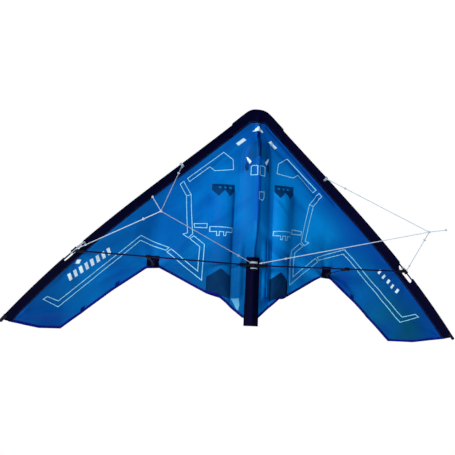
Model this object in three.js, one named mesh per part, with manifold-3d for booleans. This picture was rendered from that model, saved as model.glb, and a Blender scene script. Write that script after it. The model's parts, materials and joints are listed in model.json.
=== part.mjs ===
// Framed two-line delta stunt kite, in millimetres.
// X runs along the span, +Z up the spine to the nose, -Y is the bridle (front) side.
// The origin is the centre of the centre cross, on the spine's axis.
import * as THREE from 'three';
import { mergeVertices } from 'three/addons/utils/BufferGeometryUtils.js';
import Module from 'manifold-3d';

// ---- planform -------------------------------------------------------------
const HALF_SPAN = 781;
const LE_NOSE_Z = 533.2; // leading edge: cubic in x
const LE_SLOPE = -0.9311;
const LE_BOW = 3.095e-4;
const LE_DROOP = -4.108e-7;
const LE_SWEEP_BACK = 69; // depth of the tip behind the spine
const SPINE_END_Z = -190;
const TUBE_CORNER = [110, -100]; // trailing edge corners, [x, z]
const TUBE_OUTER = [146, -91];
const NOTCH_IN = [286, -17];
const NOTCH_OUT = [322, -19];
const PANEL_MID = [430, -98];
const TIP_CORNER = [582, -223];
const TIP_LOW = [655, -224];
const TIP_END = [762, -207];
const TE_TIP_Z = -201;
const FULL_BILLOW_X = 200; // the sail is fullest inside this, and flat beyond the next
const FLAT_SAIL_X = 380;
const TE_DEPTH = [[0, 0], [146, 57], [304, 115], [582, 166], [HALF_SPAN, 69]]; // [x, y]

// ---- cloth ----------------------------------------------------------------
const CLOTH = 0.8;
const GAP = 0.35;
const SLEEVE_WIDTH = 32;
const SLEEVE_THICK = 1.6;
const SLEEVE_R = 5.2;
const SLEEVE_WALL = 0.9;
const SLEEVE_START_X = 42;
const HEM_WIDTH = 8;
const ROOT_X = 6.3;
const SAIL_END_X = 722;
const HEM_START_X = 28;
const HEM_THICK = 1.28;
const FLAP_SHIFT = -1.2; // pieces sewn on the front of the sail
const TE_PATCH_SHIFT = -1.4;
const TE_PATCH_TOP_Z = 19;
const TE_PATCH_X = [288, 304, 325];

// ---- frame ----------------------------------------------------------------
const ROD_R = 2.5;
const ROD_INSET = 5;
const ROD_BORE_R = 2.85;
const ROD_START_X = 34;
const ROD_JOINT_X = [371, 372]; // the two rods stop here inside the ferrule
const ROD_FIT = 0.3; // clearance round a rod in a moulding
const FERRULE_R = 3.5;
const FERRULE_X = [352, 392];
const SPINE_R = 3;
const SPINE_TOP_Z = 500;
const POCKET_R = 4.6;
const POCKET_BORE_R = 3.4;
const POCKET_Z = [30, 466];
const SPINE_SLEEVE_Z = [-170, -20];
const NOSE_BLOCK_Z = [486, 509];
const NOSE_BLOCK_R = 6.2;
const HUB_R = 10;
const HUB_HEIGHT = 34;
const HUB_CLEAR_R = 12.5;
const ARM_R = 5.4;
const ARM_X = [13, 47];
const CONNECTOR_X = 578;
const CONNECTOR_SLEEVE = { half: 9, r: 6.4 };
const CONNECTOR_ARM = { length: 30, r: [6.2, 4.9] };
const SPREADER_START = [16, -3, 0.2];
const SPREADER_STOP = 9; // the spreader ends this far from the leading-edge rod
const SLOT_X = [546, 604];
const SLOT_CUT_R = 13.5;
const CLIP_X = 345;
const CLIP_BARREL = { half: 8, r: 6 };
const CLIP_CONE = { length: 24, r: [6.2, 3.4] };
const WHISKER_R = 1.5;
const SOCKET_AT = [305, -5];
const SOCKET_FRONT = 8; // how far the socket stands in front of the sail
const FLANGE = { length: 3, r: 8.5 };
const SOCKET_TUBE = { length: 18, r: [5.2, 4.2] };
const FLAP_X = 23;
const FLAP_TOP_Z = 27;
const SPINE_SLEEVE_END_Z = -193;
const CAP_END_X = 90;
const CAP_TOP_Z = 508;
const CAP_LOW_Z = 476;
const CAP_OUTER = { start: 7.3, over: 4, half: 7.4 }; // over: how far past the leading edge
const CAP_INNER = { start: 1, over: 2.8, half: 6.3 };

// ---- air tubes behind the sail -------------------------------------------
const FUSELAGE_TOP_Z = 432;
const FUSELAGE_END_Z = -100;
const FUSELAGE_HALF = 50;
const FUSELAGE_NOSE_Z = 300; // the tube tapers above this and widens a little below it
const FUSELAGE_WIDEN = 7;
const FUSELAGE_DEPTH = 0.85; // of its half width
const NACELLE_X = [69, 142];
const NACELLE_TOP_Z = 264;
const NACELLE_DEPTH = 34;
const INTAKE_TEETH_Z = 228;
const INTAKE_GAP_Z = 240;
const CHEVRON_APEX_Z = -14;
const CHEVRON_SHOULDER_Z = -41;
const EXHAUST_END_Z = -100;
const EXHAUST_SLANT = 11;

// ---- bridle ---------------------------------------------------------------
const CORD_R = 1.2;
const TOW = [417, -381, 102];
const UPPER_ATTACH_X = 254;
const LOWER_END = [571, 27, 19];
const INHAUL_END = [13, -16.5, 6];
const KNOT_R = 3.2;
const PIGTAIL = 52;
const PIGTAIL_WAYS = { left: [-0.63, -0.42, 0.70], right: [0.8, -0.6, 0.12] };

// ---- colours --------------------------------------------------------------
const COLOURS = {
  ripstop_blue: [0x0a63bd, 0.62, 0],
  navy_webbing: [0x0b0d2b, 0.8, 0],
  teal_mesh: [0x0c3a63, 0.75, 0],
  carbon_rod: [0x14131a, 0.35, 0],
  black_rubber: [0x0b0b0d, 0.7, 0],
  bridle_cord: [0xd9dbe6, 0.85, 0],
};

const wasm = await Module();
wasm.setup();

// ---- small maths ----------------------------------------------------------
const lerp = (a, b, k) => a + (b - a) * k;
const clamp = (v, lo, hi) => Math.min(hi, Math.max(lo, v));
const vec = (p) => new THREE.Vector3(...p);

function alongPoints(points, x) {
  const last = points.length - 1;
  for (let i = 0; i < last; i += 1) {
    const [x0, v0] = points[i];
    const [x1, v1] = points[i + 1];
    if (x <= x1 || i === last - 1) return lerp(v0, v1, clamp((x - x0) / (x1 - x0), 0, 1));
  }
  return points[last][1];
}

// ---- the sail's shape, for x >= 0 ----------------------------------------
const leZ = (x) => LE_NOSE_Z + x * (LE_SLOPE + x * (LE_BOW + x * LE_DROOP));
const leY = (x) => LE_SWEEP_BACK * (x / HALF_SPAN) ** 1.7;
const TE_LINE = [[0, SPINE_END_Z], TUBE_CORNER, TUBE_OUTER, NOTCH_IN, NOTCH_OUT,
  PANEL_MID, TIP_CORNER, TIP_LOW, TIP_END, [HALF_SPAN, TE_TIP_Z]];
const teZ = (x) => alongPoints(TE_LINE, x);
const teY = (x) => alongPoints(TE_DEPTH, x);

// Depth of the billowed sail: full towards the spine, flat towards the tip.
function sailY(x, z) {
  const top = leZ(x);
  const t = clamp((top - z) / Math.max(top - teZ(x), 1), 0, 1);
  const fullness = clamp((FLAT_SAIL_X - x) / (FLAT_SAIL_X - FULL_BILLOW_X), 0, 1);
  const s = lerp(t, Math.sin((Math.PI / 2) * t), fullness);
  return lerp(leY(x), teY(x), s);
}

// A point a distance inside the leading edge, on the sail.
function lePoint(x, inset) {
  const slope = LE_SLOPE + x * (2 * LE_BOW + 3 * LE_DROOP * x);
  const len = Math.hypot(1, slope);
  const px = x + (slope / len) * inset;
  const pz = leZ(x) - inset / len;
  return [px, sailY(Math.max(px, 0), pz), pz];
}

// z of the line that lies a distance inside the leading edge.
function insetZ(x, inset) {
  const slope = LE_SLOPE + x * (2 * LE_BOW + 3 * LE_DROOP * x);
  return leZ(x) - inset * Math.hypot(1, slope);
}

// ---- mesh building --------------------------------------------------------
function closedGeometry(positions, indices) {
  let volume = 0;
  const p = (i) => vec(positions[i]);
  for (let i = 0; i < indices.length; i += 3) {
    volume += p(indices[i]).dot(p(indices[i + 1]).cross(p(indices[i + 2])));
  }
  if (volume < 0) {
    for (let i = 0; i < indices.length; i += 3) {
      [indices[i], indices[i + 1]] = [indices[i + 1], indices[i]];
    }
  }
  const geometry = new THREE.BufferGeometry();
  geometry.setAttribute('position', new THREE.Float32BufferAttribute(positions.flat(), 3));
  geometry.setIndex(indices);
  geometry.computeVertexNormals();
  return geometry;
}

// Closed sheet from two matching grids of points; grids are [row][column].
function sheetSolid(front, back) {
  const rows = front.length;
  const cols = front[0].length;
  const positions = [...front.flat(), ...back.flat()];
  const indices = [];
  const f = (r, c) => r * cols + c;
  const b = (r, c) => rows * cols + r * cols + c;
  const quad = (p, q, r, s) => indices.push(p, q, r, p, r, s);
  for (let r = 0; r < rows - 1; r += 1) {
    for (let c = 0; c < cols - 1; c += 1) {
      quad(f(r, c), f(r, c + 1), f(r + 1, c + 1), f(r + 1, c));
      quad(b(r, c), b(r + 1, c), b(r + 1, c + 1), b(r, c + 1));
    }
  }
  for (let c = 0; c < cols - 1; c += 1) {
    quad(f(0, c), b(0, c), b(0, c + 1), f(0, c + 1));
    quad(f(rows - 1, c + 1), b(rows - 1, c + 1), b(rows - 1, c), f(rows - 1, c));
  }
  for (let r = 0; r < rows - 1; r += 1) {
    quad(f(r + 1, 0), b(r + 1, 0), b(r, 0), f(r, 0));
    quad(f(r, cols - 1), b(r, cols - 1), b(r + 1, cols - 1), f(r + 1, cols - 1));
  }
  return closedGeometry(positions, indices);
}

// Sheet on the sail over the stations xs, between two z lines, shifted in depth.
function sailPatch(xs, topZ, bottomZ, rows, thick, shift = 0) {
  const grid = (dy) => Array.from({ length: rows + 1 }, (_, r) => xs.map((x) => {
    const z = lerp(topZ(x), bottomZ(x), r / rows);
    return [x, sailY(x, z) + shift + dy, z];
  }));
  return sheetSolid(grid(-thick / 2), grid(thick / 2));
}

// Round bar or cord through a list of points.
function tube(points, radius, sides = 8) {
  const shape = new THREE.Shape();
  for (let i = 0; i < sides; i += 1) {
    const a = (i / sides) * Math.PI * 2;
    const at = [Math.cos(a) * radius, Math.sin(a) * radius];
    if (i === 0) shape.moveTo(...at);
    else shape.lineTo(...at);
  }
  shape.closePath();
  const vectors = points.map(vec);
  const path = vectors.length === 2 ? new THREE.LineCurve3(...vectors) : new THREE.CatmullRomCurve3(vectors);
  const steps = vectors.length === 2 ? 1 : vectors.length - 1;
  return new THREE.ExtrudeGeometry(shape, { steps, extrudePath: path, curveSegments: 1, bevelEnabled: false });
}

// Straight cone or cylinder from a to b.
function cone(a, b, ra, rb, sides = 14) {
  const from = vec(a);
  const to = vec(b);
  const geometry = new THREE.CylinderGeometry(rb, ra, from.distanceTo(to), sides);
  const turn = new THREE.Quaternion().setFromUnitVectors(
    new THREE.Vector3(0, 1, 0), to.clone().sub(from).normalize());
  geometry.applyQuaternion(turn);
  geometry.translate(...from.clone().lerp(to, 0.5).toArray());
  return geometry;
}

function toManifold(geometry) {
  const plain = geometry.clone();
  plain.deleteAttribute('normal');
  plain.deleteAttribute('uv');
  const merged = mergeVertices(plain, 1e-4);
  return new wasm.Manifold(new wasm.Mesh({
    numProp: 3,
    vertProperties: new Float32Array(merged.attributes.position.array),
    triVerts: new Uint32Array(merged.index.array),
  }));
}

function fromManifold(solid) {
  const mesh = solid.getMesh();
  const geometry = new THREE.BufferGeometry();
  geometry.setAttribute('position', new THREE.Float32BufferAttribute(mesh.vertProperties, 3));
  geometry.setIndex(Array.from(mesh.triVerts));
  geometry.computeVertexNormals();
  return geometry;
}

function combine(adds, cuts = []) {
  let solid = toManifold(adds[0]);
  for (const add of adds.slice(1)) solid = solid.add(toManifold(add));
  for (const cut of cuts) solid = solid.subtract(toManifold(cut));
  return fromManifold(solid);
}

// Point on the line from a to b, at a distance from a.
function onLine(a, b, distance) {
  const from = vec(a);
  return from.add(vec(b).sub(from).normalize().multiplyScalar(distance)).toArray();
}

const stations = (from, to, count) => Array.from({ length: count + 1 }, (_, i) => lerp(from, to, i / count));
const lePath = (from, to, count, inset) => stations(from, to, count).map((x) => lePoint(x, inset));

// ---- root pieces ----------------------------------------------------------
const spineRod = () => cone([0, 0, SPINE_END_Z + 6], [0, 0, SPINE_TOP_Z], SPINE_R, SPINE_R, 16);

function ringTube(bottom, top, inner, outer, sides = 16) {
  const wall = cone([0, 0, bottom], [0, 0, top], outer, outer, sides);
  return combine([wall], [cone([0, 0, bottom - 1], [0, 0, top + 1], inner, inner, sides)]);
}

function tailCap() {
  const body = cone([0, 0, SPINE_END_Z - 4], [0, 0, SPINE_END_Z + 18], POCKET_R, POCKET_R, 16);
  const fit = SPINE_R + ROD_FIT;
  const bore = cone([0, 0, SPINE_END_Z + 5], [0, 0, SPINE_END_Z + 20], fit, fit, 16);
  return combine([body], [bore]);
}

// Cloth tunnel behind the sail: half an ellipse across, open at both ends.
function tunnel(zTop, zBottom, xLow, xHigh, depth, rows, cols) {
  const grid = (inward) => Array.from({ length: rows + 1 }, (_, r) => (
    Array.from({ length: cols + 1 }, (__, c) => {
      const angle = (Math.PI * c) / cols;
      const u = Math.cos(angle);
      const z = lerp(zTop(u), zBottom(u), r / rows);
      const mid = (xLow(z) + xHigh(z)) / 2;
      const half = (xHigh(z) - xLow(z)) / 2;
      const x = mid - (half - inward) * u;
      const base = sailY(Math.abs(mid - half * u), z) + CLOTH / 2 + GAP;
      return [x, base + (depth(z) - inward) * Math.sin(angle), z];
    })));
  return sheetSolid(grid(CLOTH), grid(0));
}

function fuselageHalf(z) {
  const nose = clamp((z - FUSELAGE_NOSE_Z) / (FUSELAGE_TOP_Z + 1 - FUSELAGE_NOSE_Z), 0, 1);
  const below = Math.max(FUSELAGE_NOSE_Z - z, 0) / (FUSELAGE_NOSE_Z - FUSELAGE_END_Z);
  const widen = below * FUSELAGE_WIDEN;
  return FUSELAGE_HALF * Math.sqrt(1 - nose ** 3) + widen;
}

function fuselage() {
  const low = (z) => -fuselageHalf(z);
  const high = (z) => fuselageHalf(z);
  const depth = (z) => FUSELAGE_DEPTH * fuselageHalf(z);
  return tunnel(() => FUSELAGE_TOP_Z, () => FUSELAGE_END_Z, low, high, depth, 14, 12);
}

// ---- wing pieces, built for x > 0 -----------------------------------------
const SAIL_XS = [ROOT_X, 15, 28, 45, 68, 90, TUBE_CORNER[0], 128, TUBE_OUTER[0], 175, 205, 235, 262,
  NOTCH_IN[0], 304, NOTCH_OUT[0], 355, 392, PANEL_MID[0], 468, 506, 544, TIP_CORNER[0], 618, TIP_LOW[0],
  690, SAIL_END_X];
const hubCut = (r = HUB_CLEAR_R) => cone([0, 0, -22], [0, 0, 22], r, r, 20);
const sailTopZ = (x) => insetZ(x, SLEEVE_WIDTH) - GAP;
const hemTopZ = (x) => Math.min(teZ(x) + HEM_WIDTH * 1.25, sailTopZ(x) - 1);

function sail() {
  const xs = SAIL_XS.filter((x) => sailTopZ(x) - hemTopZ(x) > 6);
  return combine([sailPatch(xs, sailTopZ, (x) => hemTopZ(x) + GAP, 6, CLOTH)], [hubCut()]);
}

const hem = () => sailPatch(SAIL_XS.filter((x) => x >= HEM_START_X), hemTopZ, teZ, 1, HEM_THICK);

// Sleeve: a folded strip with the leading-edge rod in its fold, cut away at the connector.
function sleeve() {
  const xs = stations(SLEEVE_START_X, HALF_SPAN - 27, 20);
  const strip = sailPatch(xs, (x) => insetZ(x, ROD_INSET), (x) => insetZ(x, SLEEVE_WIDTH), 2, SLEEVE_THICK);
  const outer = tube(lePath(SLEEVE_START_X + 2, HALF_SPAN - 20, 20, ROD_INSET), SLEEVE_R, 8);
  const bore = tube(lePath(SLEEVE_START_X - 10, HALF_SPAN - 4, 21, ROD_INSET), SLEEVE_R - SLEEVE_WALL, 8);
  const slot = tube(lePath(SLOT_X[0], SLOT_X[1], 4, ROD_INSET - 1), SLOT_CUT_R, 10);
  return combine([strip, outer], [bore, slot]);
}

const leRod = (from, to, count) => tube(lePath(from, to, count, ROD_INSET), ROD_R, 8);
const ferrule = () => combine([tube(lePath(FERRULE_X[0], FERRULE_X[1], 4, ROD_INSET), FERRULE_R, 10)],
  [tube(lePath(FERRULE_X[0] - 6, FERRULE_X[1] + 6, 5, ROD_INSET), ROD_R + ROD_FIT, 10)]);

function tipCap() {
  const body = tube(lePath(HALF_SPAN - 12, HALF_SPAN + 5, 3, ROD_INSET), SLEEVE_R + 0.6, 12);
  const bore = tube(lePath(HALF_SPAN - 15, HALF_SPAN + 1, 3, ROD_INSET), ROD_BORE_R + 0.4, 10);
  return combine([body], [bore]);
}

// Half of the nose patch: a channel folded over the leading edge, open below.
function noseCap() {
  const top = (x, grow) => Math.min(leZ(x) + grow, CAP_TOP_Z + grow - 0.3 * x);
  const outline = (from, to, topOf, lowOf) => {
    const shape = new THREE.Shape();
    shape.moveTo(from, topOf(from));
    for (const x of stations(from, to, 8).slice(1)) shape.lineTo(x, topOf(x));
    for (const x of stations(to, from, 8)) shape.lineTo(x, lowOf(x));
    return shape;
  };
  const slab = (shape, half) => {
    const geometry = new THREE.ExtrudeGeometry(shape, { depth: 2 * half, bevelEnabled: false, steps: 1 });
    return geometry.rotateX(Math.PI / 2).translate(0, half, 0);
  };
  const low = (x) => Math.min(insetZ(x, SLEEVE_WIDTH - 1), CAP_LOW_Z);
  const walls = slab(outline(CAP_OUTER.start, CAP_END_X, (x) => top(x, CAP_OUTER.over), low), CAP_OUTER.half);
  const inner = outline(CAP_INNER.start, CAP_END_X + 20, (x) => top(x, CAP_INNER.over), (x) => low(x) - 60);
  const inside = slab(inner, CAP_INNER.half);
  const cap = combine([walls], [inside]);
  const p = cap.attributes.position;
  for (let i = 0; i < p.count; i += 1) p.setY(i, p.getY(i) + sailY(p.getX(i), p.getZ(i)));
  return cap;
}

const flap = () => combine([sailPatch([ROOT_X, 15, FLAP_X], () => FLAP_TOP_Z, () => SPINE_SLEEVE_END_Z, 10,
  CLOTH, FLAP_SHIFT)], [hubCut(HUB_CLEAR_R + 0.5)]);

const tePatch = () => sailPatch(
  TE_PATCH_X, () => TE_PATCH_TOP_Z, (x) => teZ(x) + 1.5, 3, CLOTH, TE_PATCH_SHIFT);

const connectorAt = () => lePoint(CONNECTOR_X, ROD_INSET);
const spreaderEnd = () => onLine(connectorAt(), SPREADER_START, SPREADER_STOP);
const clipAt = () => onLine(SPREADER_START, spreaderEnd(), CLIP_X - SPREADER_START[0]);
const socketAt = () => [SOCKET_AT[0], sailY(...SOCKET_AT) - SOCKET_FRONT, SOCKET_AT[1]];

const spreader = () => cone(SPREADER_START, spreaderEnd(), ROD_R, ROD_R, 12);

function crossArm() {
  const end = spreaderEnd();
  const back = onLine(SPREADER_START, end, ARM_X[0] - SPREADER_START[0]);
  const out = onLine(SPREADER_START, end, ARM_X[1] - SPREADER_START[0]);
  const bore = [onLine(SPREADER_START, end, -0.5), onLine(SPREADER_START, end, 60)];
  return combine([cone(back, out, ARM_R + 0.6, ARM_R, 16)], [cone(...bore, ROD_BORE_R, ROD_BORE_R, 12)]);
}

function leConnector() {
  const at = connectorAt();
  const { half, r } = CONNECTOR_SLEEVE;
  const rodEnds = [lePoint(CONNECTOR_X - half, ROD_INSET), lePoint(CONNECTOR_X + half, ROD_INSET)];
  const through = [lePoint(CONNECTOR_X - 16, ROD_INSET), lePoint(CONNECTOR_X + 16, ROD_INSET)];
  const mouth = onLine(at, SPREADER_START, CONNECTOR_ARM.length);
  const boreEnds = [onLine(at, SPREADER_START, 8), onLine(at, SPREADER_START, 40)];
  return combine([cone(...rodEnds, r, r, 12), cone(at, mouth, ...CONNECTOR_ARM.r, 12)],
    [cone(...through, ROD_BORE_R + 0.1, ROD_BORE_R + 0.1, 10), cone(...boreEnds, ROD_BORE_R, ROD_BORE_R, 10)]);
}

// The hole for the standoff, from a distance along the line outwards.
function whiskerBore(from, towards, start) {
  const fit = WHISKER_R + ROD_FIT;
  return cone(onLine(from, towards, start), onLine(from, towards, start + 31), fit, fit, 8);
}

function standoffClip() {
  const at = clipAt();
  const end = spreaderEnd();
  const { half, r } = CLIP_BARREL;
  const before = onLine(at, SPREADER_START, half);
  const after = onLine(at, end, half);
  const tip = onLine(at, socketAt(), CLIP_CONE.length);
  const bore = [onLine(at, SPREADER_START, 14), onLine(at, end, 14)];
  return combine([cone(before, after, r, r, 12), cone(at, tip, ...CLIP_CONE.r, 12)],
    [cone(...bore, ROD_BORE_R, ROD_BORE_R, 10), whiskerBore(at, socketAt(), 9)]);
}

const standoff = () => cone(
  onLine(clipAt(), socketAt(), 10), onLine(socketAt(), clipAt(), 4), WHISKER_R, WHISKER_R, 8);

function standoffSocket() {
  const at = socketAt();
  const lip = onLine(at, clipAt(), FLANGE.length);
  const top = onLine(at, clipAt(), SOCKET_TUBE.length);
  const neck = cone(onLine(at, clipAt(), 1), top, ...SOCKET_TUBE.r, 12);
  return combine([cone(at, lip, FLANGE.r, FLANGE.r, 14), neck],
    [whiskerBore(at, clipAt(), 3.6)]);
}

const saw = (u, teeth) => Math.abs(((((u + 1) / 2) * teeth) % 1) * 2 - 1);
const nacelleX = [() => NACELLE_X[0], () => NACELLE_X[1]];
const nacelleTeeth = (u) => lerp(INTAKE_TEETH_Z, INTAKE_GAP_Z, saw(clamp(u, -1, 0.999), 2));
const chevron = (u) => lerp(CHEVRON_APEX_Z, CHEVRON_SHOULDER_Z, Math.abs(u));
const exhaustEnd = (u) => EXHAUST_END_Z - EXHAUST_SLANT * u;
const nacellePart = (top, bottom, rows) => tunnel(top, bottom, ...nacelleX, () => NACELLE_DEPTH, rows, 12);

const cordLine = (a, b, steps = 6) => tube(Array.from({ length: steps + 1 },
  (_, i) => vec(a).lerp(vec(b), i / steps).toArray()), CORD_R, 8);
const towGap = (target) => onLine(TOW, target, KNOT_R + 0.5);

function knot(at, radius = KNOT_R) {
  return new THREE.IcosahedronGeometry(radius, 1).translate(...at);
}

// ---- assembly -------------------------------------------------------------
function mirrored(geometry) {
  const flipped = geometry.index ? geometry.toNonIndexed() : geometry.clone();
  const p = flipped.attributes.position;
  for (let i = 0; i < p.count; i += 3) {
    const a = [-p.getX(i), p.getY(i), p.getZ(i)];
    const b = [-p.getX(i + 1), p.getY(i + 1), p.getZ(i + 1)];
    const c = [-p.getX(i + 2), p.getY(i + 2), p.getZ(i + 2)];
    p.setXYZ(i, ...a);
    p.setXYZ(i + 1, ...c);
    p.setXYZ(i + 2, ...b);
  }
  return flipped;
}

function addMesh(group, name, geometry, slot) {
  const [color, roughness, metalness] = COLOURS[slot];
  const plain = geometry.clone();
  plain.deleteAttribute('normal');
  plain.deleteAttribute('uv');
  const merged = mergeVertices(plain, 1e-4);
  merged.computeVertexNormals();
  const mesh = new THREE.Mesh(merged, new THREE.MeshStandardMaterial({ color, roughness, metalness }));
  mesh.name = name;
  group.add(mesh);
}

function rootPieces() {
  return [
    ['spine_rod', spineRod(), 'carbon_rod'],
    ['spine_pocket', ringTube(...POCKET_Z, POCKET_BORE_R, POCKET_R), 'ripstop_blue'],
    ['spine_sleeve', ringTube(...SPINE_SLEEVE_Z, POCKET_BORE_R, POCKET_R), 'navy_webbing'],
    ['nose_block', ringTube(...NOSE_BLOCK_Z, POCKET_BORE_R, NOSE_BLOCK_R), 'navy_webbing'],
    ['tail_cap', tailCap(), 'black_rubber'],
    ['cross_hub', ringTube(-HUB_HEIGHT / 2, HUB_HEIGHT / 2, SPINE_R + ROD_FIT, HUB_R, 20), 'black_rubber'],
    ['fuselage', fuselage(), 'ripstop_blue'],
  ];
}

function wingPieces() {
  const tie = lePoint(UPPER_ATTACH_X, 6);
  const upperEnd = [tie[0], tie[1] - 8, tie[2]];
  return [
    ['sail', sail(), 'ripstop_blue'],
    ['hem', hem(), 'navy_webbing'],
    ['le_sleeve', sleeve(), 'navy_webbing'],
    ['le_rod_upper', leRod(ROD_START_X, ROD_JOINT_X[0], 10), 'carbon_rod'],
    ['le_rod_lower', leRod(ROD_JOINT_X[1], HALF_SPAN - 5, 12), 'carbon_rod'],
    ['le_ferrule', ferrule(), 'carbon_rod'],
    ['tip_cap', tipCap(), 'black_rubber'],
    ['nose_cap', noseCap(), 'navy_webbing'],
    ['spine_flap', flap(), 'navy_webbing'],
    ['te_patch', tePatch(), 'navy_webbing'],
    ['cross_arm', crossArm(), 'black_rubber'],
    ['spreader', spreader(), 'carbon_rod'],
    ['le_connector', leConnector(), 'black_rubber'],
    ['standoff_clip', standoffClip(), 'black_rubber'],
    ['standoff', standoff(), 'carbon_rod'],
    ['standoff_socket', standoffSocket(), 'black_rubber'],
    ['intake', nacellePart(() => NACELLE_TOP_Z, nacelleTeeth, 2), 'teal_mesh'],
    ['nacelle', nacellePart((u) => nacelleTeeth(u) - GAP, (u) => chevron(u) + GAP, 10), 'ripstop_blue'],
    ['exhaust', nacellePart(chevron, exhaustEnd, 4), 'teal_mesh'],
    ['bridle_upper', cordLine(upperEnd, towGap(upperEnd)), 'bridle_cord'],
    ['bridle_lower', cordLine(LOWER_END, towGap(LOWER_END)), 'bridle_cord'],
    ['bridle_inhaul', cordLine(INHAUL_END, towGap(INHAUL_END)), 'bridle_cord'],
    ['tow_knot', knot(TOW), 'bridle_cord'],
  ];
}

// The short pigtails stand out from the tow points, each its own way.
function pigtailPieces() {
  return Object.entries(PIGTAIL_WAYS).map(([side, way]) => {
    const at = side === 'left' ? [-TOW[0], TOW[1], TOW[2]] : TOW;
    const tip = vec(at).add(vec(way).normalize().multiplyScalar(PIGTAIL)).toArray();
    return [`${side}_pigtail`, cordLine(onLine(at, tip, KNOT_R + 0.5), tip, 3), 'bridle_cord'];
  });
}

const group = new THREE.Group();
for (const [name, geometry, slot] of rootPieces()) addMesh(group, name, geometry, slot);
for (const [name, geometry, slot] of wingPieces()) {
  addMesh(group, `right_${name}`, geometry, slot);
  addMesh(group, `left_${name}`, mirrored(geometry), slot);
}
for (const [name, geometry, slot] of pigtailPieces()) addMesh(group, name, geometry, slot);

export default group;
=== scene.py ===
# Looks of a framed two-line delta stunt kite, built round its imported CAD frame.
# Shapes are worked out in millimetres in the part's own frame and made into meshes in metres.
import json
import math

import bmesh
import bpy
import numpy as np
from mathutils import Matrix, Vector


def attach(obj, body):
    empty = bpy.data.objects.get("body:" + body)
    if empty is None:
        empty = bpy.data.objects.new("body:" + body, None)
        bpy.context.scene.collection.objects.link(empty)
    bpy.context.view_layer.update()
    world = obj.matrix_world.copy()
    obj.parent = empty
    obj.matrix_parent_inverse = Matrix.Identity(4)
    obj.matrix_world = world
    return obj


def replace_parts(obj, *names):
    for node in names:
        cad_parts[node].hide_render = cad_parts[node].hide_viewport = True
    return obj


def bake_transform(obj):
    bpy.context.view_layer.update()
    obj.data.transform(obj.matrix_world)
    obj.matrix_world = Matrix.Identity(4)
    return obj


MM = 0.001
SIDES = {"left": -1, "right": 1}

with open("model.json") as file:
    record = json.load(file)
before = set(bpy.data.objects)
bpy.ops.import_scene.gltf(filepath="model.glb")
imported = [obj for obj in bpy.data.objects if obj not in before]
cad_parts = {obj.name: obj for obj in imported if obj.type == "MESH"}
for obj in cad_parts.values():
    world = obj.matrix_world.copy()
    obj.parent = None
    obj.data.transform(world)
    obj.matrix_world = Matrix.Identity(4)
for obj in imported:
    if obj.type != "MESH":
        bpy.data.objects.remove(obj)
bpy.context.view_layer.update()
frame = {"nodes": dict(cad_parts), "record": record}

# ---- the kite's driving dimensions, as in the CAD source (mm)
HALF_SPAN = 781
LE_CUBIC = (533.2, -0.9311, 3.095e-4, -4.108e-7)
LE_SWEEP_BACK = 69
TE_LINE = np.array([(0, -190), (110, -100), (146, -91), (286, -17), (322, -19), (430, -98),
                    (582, -223), (655, -224), (762, -207), (781, -201)], float)
TE_DEPTH = np.array([(0, 0), (146, 57), (304, 115), (582, 166), (781, 69)], float)
SWEEP_POWER = 1.7
FULL_WITHIN = 380
FULL_FADE = 180
SLEEVE_WIDTH = 32
ROD_INSET = 5
ROD_R = 2.5
WHISKER_R = 1.5
SLOT_X = (548, 604)
SLOT_DEPTH = {"left": 12.0, "right": 15.5}
CONNECTOR_X = 578
CLIP_X = 345
SOCKET_AT = (305, -5)
PATCH_X = (287, 325)
PATCH_TOP_Z = 20
TAPE_X = (106, 147)
CAP_END_X = 88
CAP_LOW_Z = 467
CAP_HALF = 7.2
CAP_THINNING = 4.8
CAP_FOLD = 9
NOSE_Z = 512.5
NOSE_CROWN = 0.003
FLAP_TOP_Z = 27
FLAP_END_Z = -194.5
FLAP_HALF = 22.5
FLAP_FLARE = 2.0
FLAP_RIDGE = 3.6
FLAP_LAYERS = 1.6
SPINE_TOP_Z = 500
ROD_END_Z = -184
FUSELAGE_TOP_Z = 432
FUSELAGE_END_Z = -100
FUSELAGE_HALF = 50
FUSELAGE_NOSE_Z = 300
FUSELAGE_FLARE = 0.0175
NACELLE_X = (69, 142)
NACELLE_MID = sum(NACELLE_X) / 2
NACELLE_HALF = (NACELLE_X[1] - NACELLE_X[0]) / 2
NACELLE_TOP_Z = 264
NACELLE_DEPTH = 34
NACELLE_PUFF = 22
FUSELAGE_PUFF = 19
TUBE_ROUNDNESS = 0.7
POCKET_HALF = 9
POCKET_RIDGE = 3.4
POCKET_TOP_Z = 436
TACKS_Z = (106, 84)
ROD_COVER = 5.2
TOW = (417, -381, 102)
LOWER_END = (571, 27, 19)
INHAUL_END = (13, -16.5, 6)
UPPER_TIE_X = 254
KNOT_R = 3.2
WRAPS = {"left": (-30, -27, -18, -13), "right": (-13,)}
CORD_R = 1.2
CORD_STEPS = 16
LOOP_R = 7.4
WRAP_R = 3.9
UPPER_KNOT_AT = 0.2
INHAUL_KNOT_AT = 92
LOWER_KNOTS = ((0.12, 2.6, 1.1), (0.81, 3.2, 0.5))
LOOSE_END = ((-30, 4.2), (-22, 4.8), (-12, 5.4), (-6, 7.6), (4, 7.8), (11, 4.6))
PIGTAIL = 52
PIGTAIL_WAYS = {"left": (-0.63, -0.42, 0.70), "right": (0.8, -0.6, 0.12)}
CLOTH = 0.4


# ---- small maths
def smooth(t):
    t = np.clip(t, 0, 1)
    return t * t * (3 - 2 * t)


def soft_min(a, b, softness):
    return -softness * np.log(np.exp(-a / softness) + np.exp(-b / softness))


def floats(values):
    return np.asarray(values, float)


def unit(v):
    return floats(v) / np.linalg.norm(v)


def on_line(a, b, distance):
    return floats(a) + unit(np.subtract(b, a)) * distance


# ---- the sail's shape, for x >= 0
def le_z(x):
    a, b, c, d = LE_CUBIC
    return a + x * (b + x * (c + x * d))


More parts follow.
